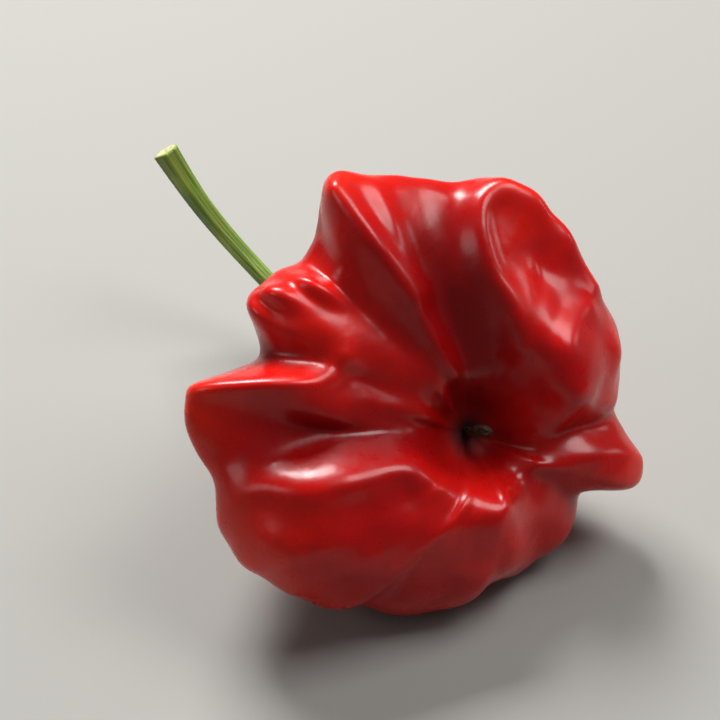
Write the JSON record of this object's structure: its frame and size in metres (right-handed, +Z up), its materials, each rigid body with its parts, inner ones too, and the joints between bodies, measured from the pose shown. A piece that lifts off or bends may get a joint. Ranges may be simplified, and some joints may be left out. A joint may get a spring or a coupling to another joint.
{
  "type": "starfish pepper",
  "caption": "Glossy red starfish-shaped hot pepper with uneven lobes round an off-centre pit, a green calyx and a curved stalk, lying on two ribs of its flank.",
  "frame": {"origin": "centre of the bounding box's base, on the surface that the pepper lies on", "axes": "+Z up; the star face with its pit looks to -Y and up; the stalk leaves the shoulder to +Y"},
  "size_m": [0.0508, 0.0664, 0.0425],
  "materials": {
    "skin": "waxy gloss",
    "calyx": "matte, leafy",
    "stalk": "matte, ribbed",
    "dried_style": "dry and rough"
  },
  "bodies": {
    "root": {"fruit": "skin", "calyx": "calyx", "stalk": "stalk", "dried_style": "dried_style"}
  },
  "joints": []
}
